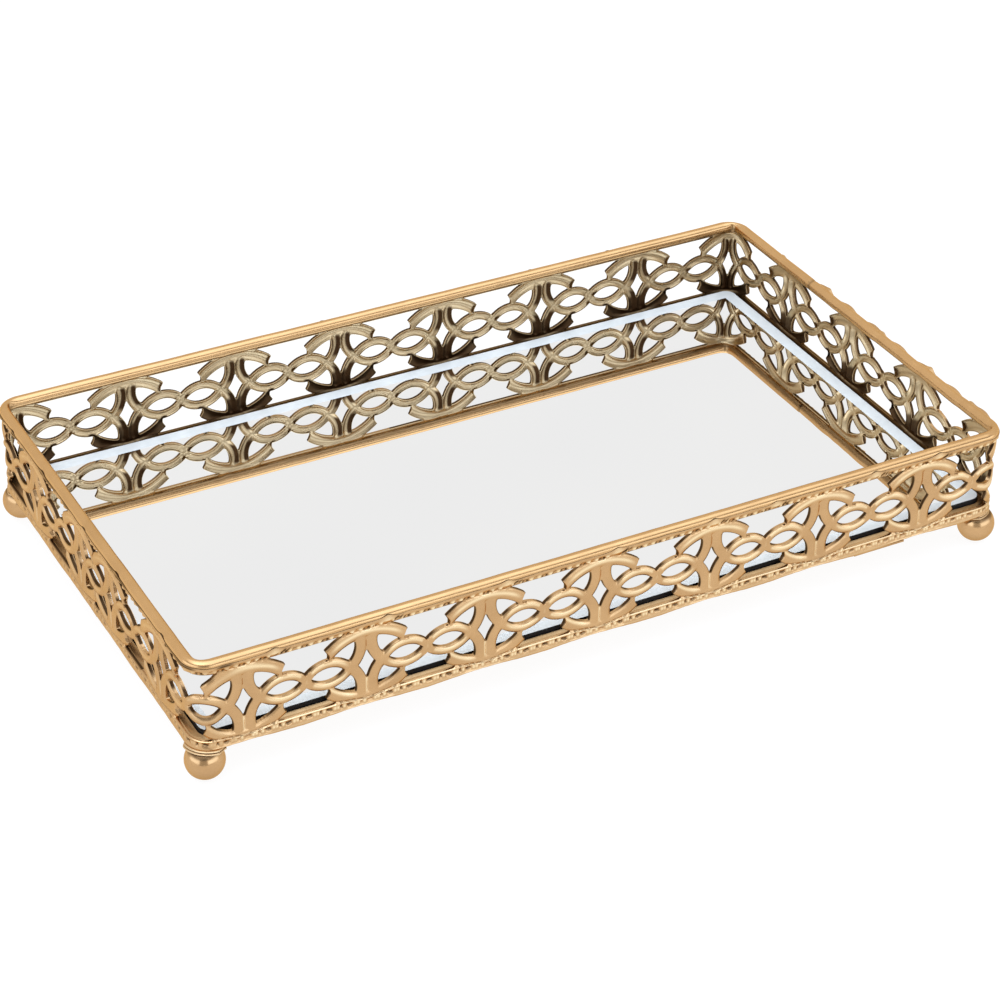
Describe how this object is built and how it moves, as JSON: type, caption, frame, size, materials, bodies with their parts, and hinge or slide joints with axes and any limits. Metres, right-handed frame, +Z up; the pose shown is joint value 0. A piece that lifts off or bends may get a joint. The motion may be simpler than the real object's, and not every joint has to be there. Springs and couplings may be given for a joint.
{
  "type": "dresser vanity tray",
  "caption": "Rectangular mirrored vanity tray with a pierced gold metal gallery, a round top rail, beaded borders and ball feet.",
  "frame": {"origin": "centre of the tray's footprint, on the surface that the four ball feet stand on", "axes": "+X along the long side, +Y towards the back long side, +Z up from the feet to the top rail"},
  "size_m": [0.3064, 0.179, 0.0464],
  "materials": {
    "rail_gold": "polished",
    "gallery_gold": "satin, stamped relief",
    "pan_gold": "satin gold",
    "foot_gold": "polished",
    "lug_gold": "satin",
    "mirror": "polished",
    "backing": "matte"
  },
  "bodies": {
    "root": {"top_rail": "rail_gold", "gallery_strip": "gallery_gold", "base_pan": "pan_gold", "backing_sheet": "backing", "mirror_glass": "mirror", "foot_front_left": "foot_gold", "foot_front_right": "foot_gold", "foot_back_left": "foot_gold", "foot_back_right": "foot_gold", "foot_lug_front_left": "lug_gold", "foot_lug_front_right": "lug_gold", "foot_lug_back_left": "lug_gold", "foot_lug_back_right": "lug_gold", "strap_front": "lug_gold", "strap_back": "lug_gold"}
  },
  "joints": []
}
